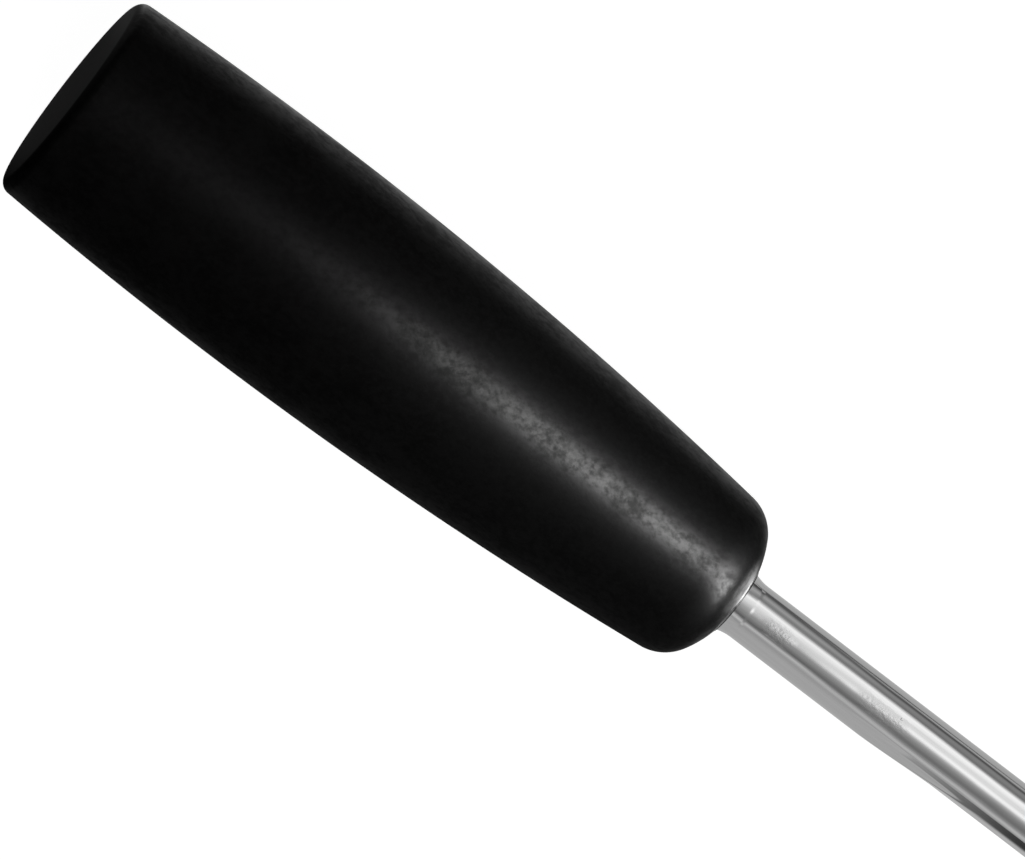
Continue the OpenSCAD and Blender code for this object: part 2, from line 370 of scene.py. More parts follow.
def grip_black():
    """Black satin moulding: mottled sheen, a few pale specks, a dull butt and a shinier nose and lip."""
    mat, tree, shader, coords = new_material("grip_black")
    cloud = noise_tex(tree, mapped(tree, coords, (1.0, 1.5, 1.5)), 170.0, 3.0, 0.5)
    mottle = noise_tex(tree, mapped(tree, coords, (1.0, 1.2, 1.2)), 850.0, 5.0, 0.72)
    grain = noise_tex(tree, coords, 5200.0, 2.0, 0.5)
    mixed = plus(tree, times(tree, cloud, CLOUD_SHARE), times(tree, mottle, 1 - CLOUD_SHARE))
    smudge = span(tree, mixed, *SMUDGE_SPAN)
    place = axis_parts(tree, coords)
    nose = span(tree, place["X"], *NOSE_SPAN)
    handled = span(tree, place["X"], *HANDLED_SPAN)
    lip = span(tree, place["X"], *LIP_SPAN)
    geometry = tree.nodes.new("ShaderNodeNewGeometry")
    butt = span(tree, axis_parts(tree, geometry.outputs["Normal"])["X"], *BUTT_NORMAL_SPAN)

    speck = times(tree, specks(tree, coords, 190.0, 0.05, 0.85), nose)
    colour = blend(tree, speck, blend(tree, smudge, 0.0006, 0.0012), 0.05)
    tree.links.new(colour, shader.inputs["Base Color"])
    rough = blend(tree, lip, blend(tree, smudge, 0.42, 0.30), 0.16)
    tree.links.new(blend(tree, butt, rough, 0.6), shader.inputs["Roughness"])
    gloss = times(tree, blend(tree, handled, 0.03, 0.12), blend(tree, smudge, 0.62, 1.3))
    gloss = blend(tree, lip, gloss, 0.45)
    tree.links.new(blend(tree, butt, gloss, 0.012), shader.inputs["Specular IOR Level"])
    height = plus(tree, times(tree, mixed, 1 - GRAIN_SHARE), times(tree, grain, GRAIN_SHARE))
    bump(tree, shader, height, 0.3, 0.00008)
    return mat


WORN_SIDE = (-0.21, 0.98)
WORN_HEIGHT_SPAN = (0.00378, 0.00392)
WORN_PATCHES = [(0.1135, 0.003), (0.1305, 0.005)]
MARKS_ELSEWHERE = 0.02
PIT_DEPTH = 0.5


def polished_steel():
    """Polished bar: streaks and slight waves along it, with pits and scuffs on its upper side."""
    mat, tree, shader, coords = new_material("polished_steel")
    streaks = noise_tex(tree, mapped(tree, coords, (9, 1000, 1000)), 1.6, 5.0, 0.62)
    waves = noise_tex(tree, mapped(tree, coords, (70, 210, 210)), 1.0, 2.0, 0.5)
    scuff = noise_tex(tree, mapped(tree, coords, (1400, 2300, 2300)), 1.0, 4.0, 0.6)
    pit = specks(tree, coords, 420.0, 0.09, 0.72)
    place = axis_parts(tree, coords)
    height = plus(tree, times(tree, place["Y"], WORN_SIDE[0]), times(tree, place["Z"], WORN_SIDE[1]))
    top = span(tree, height, *WORN_HEIGHT_SPAN)
    worn = plus(tree, *[worn_patch(tree, place["X"], *patch) for patch in WORN_PATCHES])
    worn = times(tree, worn, top)

    shader.inputs["Metallic"].default_value = 1.0
    tree.links.new(ramp(tree, streaks, [(0.3, 0.55), (0.7, 0.61)]), shader.inputs["Base Color"])
    rough = ramp(tree, streaks, [(0.3, 0.05), (0.7, 0.12)])
    tree.links.new(blend(tree, worn, rough, 0.16), shader.inputs["Roughness"])
    normal = bump(tree, shader, waves, 0.5, 0.00012)
    normal = bump(tree, shader, streaks, 0.3, 0.00002, normal)
    marks = times(tree, scuff, plus(tree, worn, MARKS_ELSEWHERE))
    marks = plus(tree, marks, times(tree, times(tree, pit, top), PIT_DEPTH))
    bump(tree, shader, marks, 0.6, 0.00005, normal)
    return mat


def worn_patch(tree, x, centre, reach):
    return span(tree, distance_from(tree, x, centre), reach, reach * 0.3)


def turned_metal(name, level, rough, pitch_scale):
    """Metal turned on a lathe: fine rings round the axis, with a slight change of tone."""
    mat, tree, shader, coords = new_material(name)
    rings = noise_tex(tree, mapped(tree, coords, (pitch_scale, 6, 6)), 1.0, 4.0, 0.7)
    cloud = noise_tex(tree, coords, 90.0, 3.0, 0.5)
    shader.inputs["Metallic"].default_value = 1.0
    mixed = plus(tree, times(tree, rings, 0.5), times(tree, cloud, 0.5))
    tree.links.new(ramp(tree, mixed, [(0.3, level * 0.9), (0.7, level * 1.05)]), shader.inputs["Base Color"])
    tree.links.new(ramp(tree, mixed, [(0.3, rough * 0.8), (0.7, rough * 1.25)]), shader.inputs["Roughness"])
    bump(tree, shader, rings, 0.3, 0.00002)
    return mat


GRIP = grip_black()
STEEL = polished_steel()
SLEEVE_METAL = turned_metal("satin_aluminium", 0.8, 0.36, 5200)
TURNED = turned_metal("turned_aluminium", 0.68, 0.28, 4200)
SPRING = turned_metal("spring_steel", 0.3, 0.3, 3000)
BLACK_STEEL = turned_metal("black_steel", 0.06, 0.35, 3000)
NICKEL = turned_metal("nut_steel", 0.66, 0.12, 1500)


def engraving_fill():
    """Dark filler wiped into the engraved lines and numbers."""
    mat, tree, shader, coords = new_material("engraving_fill")
    speck = noise_tex(tree, coords, 3000.0, 3.0, 0.6)
    tree.links.new(ramp(tree, speck, [(0.35, 0.006), (0.75, 0.03)]), shader.inputs["Base Color"])
    shader.inputs["Roughness"].default_value = 0.6
    bump(tree, shader, speck, 0.3, 0.00002)
    return mat


FILL = engraving_fill()

# ---------------------------------------------------------------- handle


def handle_profile():
    """Outline of the grip: flat butt with a round edge, bowed barrel, shoulder, bowed face, lip and bore."""
    barrel_c = Vector((MOUTH_X - CREST_BACK, CREST_R - BARREL_BOW))
    mouth = Vector((MOUTH_X, ROD_R + LIP_LAND))
    face_c = mouth - FACE_BOW * Vector((math.cos(FACE_SLOPE), math.sin(FACE_SLOPE)))
    shoulder_c = circle_crossing(barrel_c, BARREL_BOW - SHOULDER_R, face_c, FACE_BOW - SHOULDER_R)
    butt_r = barrel_c.y + math.sqrt((BARREL_BOW - BUTT_ROUND) ** 2 - (BUTT_ROUND - barrel_c.x) ** 2)
    butt_c = Vector((BUTT_ROUND, butt_r))

    def angle(c, p):
        return math.atan2(p.y - c.y, p.x - c.x)

    turn_butt = angle(barrel_c, butt_c)
    turn_shoulder = angle(barrel_c, shoulder_c)
    turn_face = angle(face_c, shoulder_c)
    lip_c = Vector((MOUTH_X - LIP_BEAD_R, ROD_R + GLUE_GAP + LIP_LAND + LIP_BEAD_R))
    bore_r = ROD_R + GLUE_GAP
    points = [(0.0, butt_r * i / 10) for i in range(10)]
    points += arc(*butt_c, BUTT_ROUND, math.pi, turn_butt, 12)
    points += arc(*barrel_c, BARREL_BOW, turn_butt, turn_shoulder, 110)[1:]
    points += arc(*shoulder_c, SHOULDER_R, turn_shoulder, turn_face, 36)[1:]
    lip_outer_r = lip_c.y + LIP_BEAD_R * LIP_RISE
    face_end = face_c.y + FACE_BOW * math.sin(turn_face)
    steps = 12
    for i in range(1, steps + 1):
        r = face_end + (lip_outer_r - face_end) * i / steps
        points.append((face_c.x + math.sqrt(FACE_BOW ** 2 - (r - face_c.y) ** 2), r))
    points += arc(*lip_c, LIP_BEAD_R, LIP_START, LIP_END, 12)
    points.append((MOUTH_X - BORE_EDGE / 4, bore_r + BORE_EDGE * 3 / 4))
    points += [(MOUTH_X - BORE_EDGE, bore_r), (SOCKET_X, bore_r), (SOCKET_X, 0.0)]
    return points


def build_handle():
    bm = bmesh.new()
    lathe(bm, handle_profile(), 256)
    return new_piece("grip", bm, [GRIP], "handle")


# ---------------------------------------------------------------- rod


FLAT_CROWN = 0.14
FLAT_LEAD = 5.0
UPPER_RAMP = 0.8 * FLAT_RAMP
UPPER_FROM = -5.0
UPPER_BLEND = 30.0
EDGE_GAP = 0.01
GROOVE_EDGE = 0.02


def eased(value):
    """Smooth step of a value that is held between 0 and 1."""
    value = max(0.0, min(1.0, value))
    return value * value * (3 - 2 * value)


def flat_share(x, a):
    """How much of the flat's full depth is reached at x: the upper half (a > 0) is ground down sooner."""
    past = x - MOUTH_X - FLAT_START
    if past + FLAT_LEAD < 0 or x > FLAT_END_X:
        return 0.0
    share = past / FLAT_RAMP
    lower = 0.5 * eased(share) + 0.5 * max(0.0, min(1.0, share))
    upper = eased((past + FLAT_LEAD) / UPPER_RAMP)
    return lower + (upper - lower) * eased((math.degrees(a) - UPPER_FROM) / UPPER_BLEND)


def bar_radius(x, r, a):
    """Radius of the bar at angle a from the middle of its flat, which is slightly crowned by polishing."""
    reach = r * math.cos(a)
    flat_y = ROD_R - FLAT_DEPTH
    if r < ROD_R - TANG_GROOVE_DEPTH or reach <= flat_y:
        return r
    depth = (r - flat_y / math.cos(a)) * (1 - FLAT_CROWN)
    return r - depth * flat_share(x, a)


def rod_ring(bm, x, r, count=192, strip=64):
    """A ring of points whose first stretch lies across the flat, so that its edges follow mesh lines."""
    half = math.acos((ROD_R - FLAT_DEPTH) / ROD_R)
    angles = [-half + 2 * half * i / strip for i in range(strip)]
    rest = count - strip
    angles += [half + (2 * math.pi - 2 * half) * i / rest for i in range(rest)]
    verts = []
    for a in angles:
        bar_r = bar_radius(x, r, a)
        verts.append(bm.verts.new((x, -bar_r * math.cos(a), bar_r * math.sin(a))))
    return verts


def build_rod():
    stations = [(TANG_X, ROD_R - TANG_EDGE), (TANG_X + TANG_EDGE, ROD_R)]
    for i in range(1, TANG_GROOVES + 1):
        x = TANG_X + i * TANG_GROOVE_PITCH
        low = ROD_R - TANG_GROOVE_DEPTH
        stations += [(x, ROD_R), (x + GROOVE_EDGE, low)]
        stations += [(x + TANG_GROOVE_W - GROOVE_EDGE, low), (x + TANG_GROOVE_W, ROD_R)]
    stations += [(MOUTH_X - EDGE_GAP, ROD_R), (MOUTH_X, ROD_R + FLARE)]
    for i in range(1, 11):
        share = i / 10
        stations.append((MOUTH_X + FLARE_LEN * share, ROD_R + FLARE * (1 - share) ** 2))
    stations += [(MOUTH_X + x, ROD_R) for x in range(4, int(FLAT_START - FLAT_LEAD))]
    full_x = MOUTH_X + FLAT_START + FLAT_RAMP
    run = FLAT_RAMP + FLAT_LEAD
    steps = 84
    stations += [(full_x - run + run * i / steps, ROD_R) for i in range(steps + 1)]
    clip_x = COLLAR_X + COLLAR_RECESS_DEPTH
    groove_x = clip_x - CLIP_GROOVE_W
    stations += [(full_x + x, ROD_R) for x in range(1, int(groove_x - full_x))]
    stations += [(groove_x, ROD_R), (groove_x + EDGE_GAP, CLIP_GROOVE_R)]
    stations += [(clip_x - EDGE_GAP, CLIP_GROOVE_R), (clip_x, ROD_R)]
    stations += [(FLAT_END_X, ROD_R), (FLAT_END_X + EDGE_GAP, ROD_R)]
    stations += [(SHOULDER_X, ROD_R), (SHOULDER_X + EDGE_GAP, STUD_R)]
    stations += [(STUD_END_X - TANG_EDGE, STUD_R), (STUD_END_X, STUD_R - TANG_EDGE)]
    bm = bmesh.new()
    rings = [rod_ring(bm, x, r) for x, r in stations]
    for a, b in zip(rings, rings[1:]):
        skin(bm, a, b)
    bm.faces.new(rings[0])
    bm.faces.new(list(reversed(rings[-1])))
    return new_piece("rod", bm, [STEEL], "core_rod")


# ---------------------------------------------------------------- collar, sleeve, bush


def build_collar():
    bore_r = ROD_R + FIT_GAP
    spigot_r = SLEEVE_WIDE_R - SLEEVE_WALL - FIT_GAP
    spigot_end_r = sleeve_r(SLEEVE_X + COLLAR_SPIGOT_LEN) - SLEEVE_WALL - FIT_GAP
    end_x = SLEEVE_X + COLLAR_SPIGOT_LEN
    recess_x = COLLAR_X + COLLAR_RECESS_DEPTH
    profile = [
        (recess_x, bore_r),
        (recess_x, COLLAR_RECESS_R),
        (COLLAR_X, COLLAR_RECESS_R),
        (COLLAR_X, COLLAR_FRONT_R),
        (COLLAR_X + COLLAR_CONE_LEN, SLEEVE_WIDE_R),
        (SLEEVE_X, SLEEVE_WIDE_R),
        (SLEEVE_X, spigot_r),
        (end_x, spigot_end_r),
        (end_x, bore_r),
    ]
    bm = bmesh.new()
    lathe(bm, softened(profile, COLLAR_EDGE), 192)
    collar = new_piece("collar", bm, [TURNED], "base_collar")
    cut_with(collar, [grub_hole_cutter()])
    return collar


def grub_hole_cutter():
    """The hole for the grub screw, from inside the bore out past the collar's rim, with a bevelled edge."""
    bm = bmesh.new()
    r = GRUB_R + FIT_GAP
    rim = SLEEVE_WIDE_R
    over = 0.1
    mouth_r = r + GRUB_HOLE_EDGE + over
    profile = [
        (1.0, 0.0),
        (1.0, r),
        (rim - GRUB_HOLE_EDGE, r),
        (rim + over, mouth_r),
        (rim + 1, mouth_r),
        (rim + 1, 0.0),
    ]
    lathe(bm, profile, 64)
    bmesh.ops.rotate(bm, verts=bm.verts, matrix=Matrix.Rotation(math.radians(-90), 3, "Z"))
    bmesh.ops.translate(bm, verts=bm.verts, vec=(GRUB_X, 0, 0))
    return cutter_object("grub_hole_cutter", bm)


def cutter_object(name, bm):
    bm.transform(Matrix.Scale(MM, 4))
    bmesh.ops.recalc_face_normals(bm, faces=bm.faces)
    mesh = bpy.data.meshes.new(name)
    bm.to_mesh(mesh)
    bm.free()
    mesh.materials.append(FILL)
    obj = bpy.data.objects.new(name, mesh)
    bpy.context.scene.collection.objects.link(obj)
    return obj


def cut_with(obj, cutters):
    """Cuts each cutter out of obj, applies the result and removes the cutter."""
    for cutter in cutters:
        mod = obj.modifiers.new("cut", "BOOLEAN")
        mod.operation = "DIFFERENCE"
        mod.solver = "EXACT"
        mod.material_mode = "TRANSFER"
        mod.object = cutter
        bpy.context.view_layer.update()
        graph = bpy.context.evaluated_depsgraph_get()
        cut = bpy.data.meshes.new_from_object(obj.evaluated_get(graph))
        obj.modifiers.clear()
        obj.data = cut
        mesh = cutter.data
        bpy.data.objects.remove(cutter)
        bpy.data.meshes.remove(mesh)
    obj.data.shade_smooth()
    obj.data.set_sharp_from_angle(angle=SHARP_ANGLE)


def on_sleeve(x, across, height):
    """A point on the scale: x along the stick, across in mm round it, height above the sleeve's surface."""
    r = sleeve_r(x)
    a = SCALE_TURN - across / r
    out = r + height
    return Vector((x, -out * math.sin(a), out * math.cos(a)))


def half_line_cutter():
    """The short lines at the half sizes."""
    bm = bmesh.new()
    steps = 28
    for size in range(FIRST_SIZE, LAST_SIZE):
        x = size_x(size + 0.5)
        r = sleeve_r(x)
        loops = []
        corners = ((-0.5, -LINE_DEPTH), (0.5, -LINE_DEPTH), (0.5, CUTTER_TOP), (-0.5, CUTTER_TOP))
        for i in range(steps + 1):
            across = HALF_LINE_SPAN * r * (i / steps - 0.5)
            loops.append([bm.verts.new(on_sleeve(x + w * LINE_W, across, h)) for w, h in corners])
        for a, b in zip(loops, loops[1:]):
            for k in range(4):
                m = (k + 1) % 4
                bm.faces.new((a[k], a[m], b[m], b[k]))
        bm.faces.new(loops[0])
        bm.faces.new(list(reversed(loops[-1])))
    return cutter_object("half_line_cutter", bm)


DIGIT_H = 4.2
DIGIT_DEPTH = 0.18
DIGIT_HEIGHT_OF_EM = 0.72
DIGIT_SHIFT = 0.25


def number_cutter():
    """The numbers 1 to 15, wrapped round the sleeve, each on the handle side of its line."""
    whole = bmesh.new()
    for size in range(FIRST_SIZE, LAST_SIZE + 1):
        curve = bpy.data.curves.new("digits", "FONT")
        curve.body = str(size)
        curve.size = DIGIT_H / DIGIT_HEIGHT_OF_EM
        curve.align_x = "CENTER"
        curve.align_y = "CENTER"
        curve.extrude = 0.5
        curve.resolution_u = 4
        obj = bpy.data.objects.new("digits", curve)
        bpy.context.scene.collection.objects.link(obj)
        bpy.context.view_layer.update()
        graph = bpy.context.evaluated_depsgraph_get()
        mesh = bpy.data.meshes.new_from_object(obj.evaluated_get(graph))
        bpy.data.objects.remove(obj)
        bpy.data.curves.remove(curve)
        bm = bmesh.new()
        bm.from_mesh(mesh)
        bpy.data.meshes.remove(mesh)
        bmesh.ops.remove_doubles(bm, verts=bm.verts, dist=0.001)
        centre = size_x(size) - SIZE_PITCH * DIGIT_SHIFT
        for v in bm.verts:
            height = CUTTER_TOP if v.co.z > 0 else -DIGIT_DEPTH
            v.co = on_sleeve(centre + v.co.x, v.co.y, height)
        bm.normal_update()
        part = bpy.data.meshes.new("digits")
        bm.to_mesh(part)
        bm.free()
        whole.from_mesh(part)
        bpy.data.meshes.remove(part)
    return cutter_object("number_cutter", whole)


def sleeve_profile():
    """Outline of the tapered tube, with a groove for each whole size."""
    profile = [(SLEEVE_X, SLEEVE_WIDE_R - SLEEVE_WALL), (SLEEVE_X, SLEEVE_WIDE_R)]
    for size in range(LAST_SIZE, FIRST_SIZE - 1, -1):
        back = size_x(size) - LINE_W / 2
        front = size_x(size) + LINE_W / 2
        profile += [
            (back - LINE_LIP, sleeve_r(back - LINE_LIP)),
            (back, sleeve_r(back) - LINE_LIP),
            (back, sleeve_r(back) - LINE_DEPTH),
            (front, sleeve_r(front) - LINE_DEPTH),
            (front, sleeve_r(front) - LINE_LIP),
            (front + LINE_LIP, sleeve_r(front + LINE_LIP)),
        ]
    return profile + [(SLEEVE_END_X, SLEEVE_TIP_R), (SLEEVE_END_X, SLEEVE_TIP_R - SLEEVE_WALL)]


def build_sleeve():
    bm = bmesh.new()
    lathe(bm, sleeve_profile(), 256)
    for face in bm.faces:
        middle = face.calc_center_median()
        depth = sleeve_r(middle.x) - math.hypot(middle.y, middle.z)
        near = min(abs(middle.x - size_x(size)) for size in range(FIRST_SIZE, LAST_SIZE + 1))
        in_line = near <= LINE_W / 2 + FILL_SPREAD and FILL_FROM_DEPTH < depth < SLEEVE_WALL / 2
        face.material_index = 1 if in_line else 0
    sleeve = new_piece("mandrel", bm, [SLEEVE_METAL, FILL], "mandrel_sleeve")
    cut_with(sleeve, [half_line_cutter(), number_cutter()])
    return sleeve


def build_bush():
    spigot_r = SLEEVE_TIP_R - SLEEVE_WALL - FIT_GAP
    start_x = SLEEVE_END_X - BUSH_SPIGOT_LEN
    spigot_in_r = sleeve_r(start_x) - SLEEVE_WALL - FIT_GAP
    bore_r = STUD_R + FIT_GAP
    profile = [
        (start_x, bore_r),
        (start_x, spigot_in_r),
        (SLEEVE_END_X, spigot_r),
        (SLEEVE_END_X, SLEEVE_TIP_R),
        (BUSH_END_X - BUSH_EDGE, SLEEVE_TIP_R),
        (BUSH_END_X, SLEEVE_TIP_R - BUSH_EDGE),
        (BUSH_END_X, bore_r),
    ]
    bm = bmesh.new()
    lathe(bm, softened(profile, BUSH_SOFT_EDGE), 160)
    return new_piece("tip_plug", bm, [TURNED], "tip_bush")


# ---------------------------------------------------------------- carried-over CAD nodes


def finish_node(name, material):
    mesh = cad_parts[name].data
    mesh.materials.clear()
    mesh.materials.append(material)


# ---------------------------------------------------------------- stage, light and camera

# The light tent, a half pipe of cloth over the stick that only its reflections show. Each row is one
# place round it: the angle from overhead towards +Y in degrees, and the brightness, first as the rod shows
# them next to the handle and then as it shows them further along.
TENT_PANELS = [
    (-90, 0.58, -90, 0.58),
    (-77, 0.53, -80, 0.47),
    (-72, 0.44, -74, 0.50),
    (-68, 0.48, -70, 0.72),
    (-64, 0.64, -65, 0.74),
    (-60, 0.82, -60, 0.54),
    (-56, 0.69, -56, 0.38),
    (-52, 0.44, -52, 0.35),
    (-48, 0.19, -49, 0.29),
    (-44, 0.15, -45, 0.24),
    (-40, 0.24, -40, 0.25),
    (-30, 0.35, -30, 0.35),
    (-20, 0.44, -21, 0.50),
    (-11, 0.54, -15, 0.80),
    (-4, 0.70, -8, 1.45),
    (4, 0.90, -3, 1.60),
    (13, 1.12, 6, 1.20),
    (20, 1.22, 15, 1.12),
    (27, 1.42, 24, 1.45),
    (31, 1.50, 31, 1.55),
    (35, 1.28, 36, 1.45),
    (39, 0.80, 41, 0.90),
    (43, 0.48, 45, 0.45),
    (49, 0.30, 50, 0.24),
    (56, 0.38, 56, 0.31),
    (66, 0.57, 66, 0.34),
    (75, 0.40, 72, 0.29),
    (83, 0.14, 77, 0.13),
    (88, 0.07, 80, 0.10),
    (92, 0.08, 87, 0.45),
    (96, 0.20, 92, 0.68),
]
TENT_R = 0.45
TENT_X = (-0.6, 1.3)
TENT_HALF_SWEEP = 92
TENT_SIDES = 96
TENT_RAMP_SWEEP = 216
TENT_FAR_START = (0.165, 0.200)
TENT_FAR_END = (0.242, 0.224)
TENT_DIM_SPAN = (0.09, 0.158)
TENT_DIM_LEVEL = 0.07


def ray_split(tree, seen, unseen):
    """Output of a stage material or world: one look for the camera and another for everything else."""
    path = tree.nodes.new("ShaderNodeLightPath")
    mix = tree.nodes.new("ShaderNodeMixShader")
    tree.links.new(path.outputs["Is Camera Ray"], mix.inputs["Fac"])
    tree.links.new(unseen, mix.inputs[1])
    tree.links.new(seen, mix.inputs[2])
    return mix.outputs["Shader"]


def glow(tree, kind, strength):
    node = tree.nodes.new(kind)
    node.inputs["Color"].default_value = (1, 1, 1, 1)
    if isinstance(strength, (int, float)):
        node.inputs["Strength"].default_value = strength
    else:
        tree.links.new(strength, node.inputs["Strength"])
    return node.outputs[0]


def clear_glow(tree, strength):
    """Output of a material that glows but lets everything pass through it."""
    clear = tree.nodes.new("ShaderNodeBsdfTransparent")
    both = tree.nodes.new("ShaderNodeAddShader")
    tree.links.new(clear.outputs["BSDF"], both.inputs[0])
    tree.links.new(glow(tree, "ShaderNodeEmission", strength), both.inputs[1])
    out = tree.nodes.new("ShaderNodeOutputMaterial")
    tree.links.new(both.outputs["Shader"], out.inputs["Surface"])


def blank_tree(mat):
    mat.use_nodes = True
    mat.node_tree.nodes.clear()
    return mat.node_tree


def stage_piece(name, mesh, material, receivers, height=0.0, seen=False):
    """Adds a sheet of the stage that glows on the given objects. Unless seen, only reflections show it."""
    obj = bpy.data.objects.new(name, mesh)
    obj.location = (0, 0, height)
    bpy.context.scene.collection.objects.link(obj)
    obj.visible_camera = seen
    obj.visible_shadow = seen
    mesh.materials.append(material)
    light_only(obj, receivers)


def placed_material(name):
    """An empty material, its node tree and the X, Y and Z of the point that is shaded, in metres."""
    mat = bpy.data.materials.new(name)
    tree = blank_tree(mat)
    geometry = tree.nodes.new("ShaderNodeNewGeometry")
    return mat, tree, axis_parts(tree, geometry.outputs["Position"])


def mesh_of(name, bm):
    mesh = bpy.data.meshes.new(name)
    bm.to_mesh(mesh)
    bm.free()
    return mesh


def build_world():
    """White behind the stick for the camera. For the rest, soft light from the -Y side and from ahead."""
    world = bpy.data.worlds.new("studio")
    bpy.context.scene.world = world
    tree = blank_tree(world)
    coords = tree.nodes.new("ShaderNodeTexCoord")
    heading = axis_parts(tree, coords.outputs["Generated"])
    forward = span(tree, heading["X"], -0.15, 0.3)
    side = blend(tree, span(tree, heading["Y"], 0.1, -0.4), 0.25, 1.9)
    level = blend(tree, forward, 0.04, side)
    level = blend(tree, span(tree, heading["X"], 0.45, 0.65), level, 0.12)
    out = tree.nodes.new("ShaderNodeOutputWorld")
    lit = glow(tree, "ShaderNodeBackground", level)
    white = glow(tree, "ShaderNodeBackground", 1.0)
    tree.links.new(ray_split(tree, white, lit), out.inputs["Surface"])


def build_tent(receivers):
    """The tent: its panels change along the rod, and it is dim over the handle."""
    bm = bmesh.new()
    rims = []
    for x in TENT_X:
        rim = []
        for i in range(TENT_SIDES + 1):
            a = math.radians(TENT_HALF_SWEEP * (2 * i / TENT_SIDES - 1))
            rim.append(bm.verts.new((x, TENT_R * math.sin(a), TENT_R * math.cos(a))))
        rims.append(rim)
    for i in range(TENT_SIDES):
        bm.faces.new((rims[0][i], rims[0][i + 1], rims[1][i + 1], rims[1][i]))

    mat, tree, place = placed_material("tent")
    turn = math_node(tree, "ARCTAN2", place["Y"], place["Z"])
    share = plus(tree, math_node(tree, "DIVIDE", turn, math.radians(TENT_RAMP_SWEEP)), 0.5)
    near = ramp(tree, share, [(a / TENT_RAMP_SWEEP + 0.5, level) for a, level, _, _ in TENT_PANELS])
    far = ramp(tree, share, [(a / TENT_RAMP_SWEEP + 0.5, level) for _, _, a, level in TENT_PANELS])
    along = times(tree, span(tree, place["X"], *TENT_FAR_START), span(tree, place["X"], *TENT_FAR_END))
    dim = blend(tree, span(tree, place["X"], *TENT_DIM_SPAN), TENT_DIM_LEVEL, 1.0)
    out = tree.nodes.new("ShaderNodeOutputMaterial")
    strength = times(tree, blend(tree, along, near, far), dim)
    tree.links.new(glow(tree, "ShaderNodeEmission", strength), out.inputs["Surface"])
    stage_piece("tent", mesh_of("tent", bm), mat, receivers)


# The overhead strip that only the grip reflects: an arc in the XZ plane about a point in the handle. Each
# row is an angle from overhead towards +X in degrees, and the strip's brightness there.
STRIP_LEVELS = [
    (-4, 0.2),
    (3, 1.2),
    (7, 3.0),
    (10, 20.0),
    (12, 36.0),
    (16, 33.0),
    (24, 26.0),
    (34, 33.0),
    (50, 36.0),
    (70, 34.0),
    (88, 30.0),
]
STRIP_R = 0.45
STRIP_CENTRE_X = 0.09
STRIP_NEAR_EDGE = -0.115
STRIP_FAR_EDGE = 0.23
STRIP_MIDDLE = 0.008
STRIP_CORE = 0.092
STRIP_SIDE_LEVEL = 0.22
STRIP_WIDENS = (math.radians(9.5), math.radians(13))
STRIP_WIDE = 1.3
STRIP_STEPS = 60


def build_strip(receivers):
    """A long curved lamp above and ahead of the stick, soft at its sides, for the sheen along the grip."""
    bm = bmesh.new()
    first, last = STRIP_LEVELS[0][0], STRIP_LEVELS[-1][0]
    rows = []
    for i in range(STRIP_STEPS + 1):
        a = math.radians(first + (last - first) * i / STRIP_STEPS)
        x = STRIP_CENTRE_X + STRIP_R * math.sin(a)
        z = STRIP_R * math.cos(a)
        rows.append([bm.verts.new((x, y, z)) for y in (STRIP_NEAR_EDGE, STRIP_FAR_EDGE)])
    for a, b in zip(rows, rows[1:]):
        bm.faces.new((a[0], a[1], b[1], b[0]))

    mat, tree, place = placed_material("strip")
    ahead = math_node(tree, "SUBTRACT", place["X"], STRIP_CENTRE_X)
    turn = math_node(tree, "ARCTAN2", ahead, place["Z"])
    past = math_node(tree, "SUBTRACT", turn, math.radians(first))
    share = math_node(tree, "DIVIDE", past, math.radians(last - first))
    top = max(level for _, level in STRIP_LEVELS)
    level = ramp(tree, share, [((a - first) / (last - first), level / top) for a, level in STRIP_LEVELS])
    widened = blend(tree, span(tree, turn, *STRIP_WIDENS), 1.0, STRIP_WIDE)
    off = math_node(tree, "DIVIDE", distance_from(tree, place["Y"], STRIP_MIDDLE), widened)
    core = span(tree, off, STRIP_CORE, STRIP_CORE * 0.3)
    far_side = math_node(tree, "GREATER_THAN", place["Y"], STRIP_MIDDLE)
    side = times(tree, span(tree, place["Y"], STRIP_FAR_EDGE, STRIP_CORE), far_side)
    soft = math_node(tree, "MAXIMUM", core, times(tree, side, STRIP_SIDE_LEVEL))
    clear_glow(tree, times(tree, times(tree, level, soft), top))
    stage_piece("strip", mesh_of("strip", bm), mat, receivers)


GROUND_SIZE = 12.0
FLOOR_DROP = 0.0002
APRON_DROP = 0.0001
BACK_SPAN = (0.06, 0.2)
BEHIND_X_SPAN = (0.002, -0.002)
BEHIND_Y_SPAN = (0.02, 0.012)
BESIDE_X_SPAN = (0.108, 0.100)
NEAR_SIDE_SPAN = (-0.004, -0.012)
FLOOR_SEEN_LEVEL = 0.99
FLOOR_SEEN_ALBEDO = 0.3
FLOOR_LEVEL = 0.58
FLOOR_BACK_LEVEL = 0.10
FLOOR_BACK_X_SPAN = (0.200, 0.172)
# Shares of the floor's glow left in its painted shadows beside the handle and behind the butt.
FLOOR_BESIDE_SHARE = 0.12
FLOOR_BEHIND_SHARE = 0.08
# A painted shadow strip in the floor's glow along the rod's near side, fading in along the rod.
SHADOW_STRIP_Y = -0.0102
SHADOW_STRIP_Y_SPAN = (0.0045, 0.0015)
SHADOW_STRIP_X_SPAN = (0.128, 0.160)
SHADOW_STRIP_SHARE = 0.08
# The apron's glow is painted light bounced off the floor; its near-side and behind-butt shares are painted
# shadow.
APRON_LEVEL = 0.46
APRON_BACK_LEVEL = 0.12
APRON_BUTT_SPAN = (0.07, 0.02)
APRON_BUTT_SHARE = 1.8
APRON_NEAR_SIDE_SHARE = 0.14
APRON_BEHIND_SHARE = 0.3
APRON_AHEAD_SPAN = (0.104, 0.130)
APRON_AHEAD_SHARE = 0.06


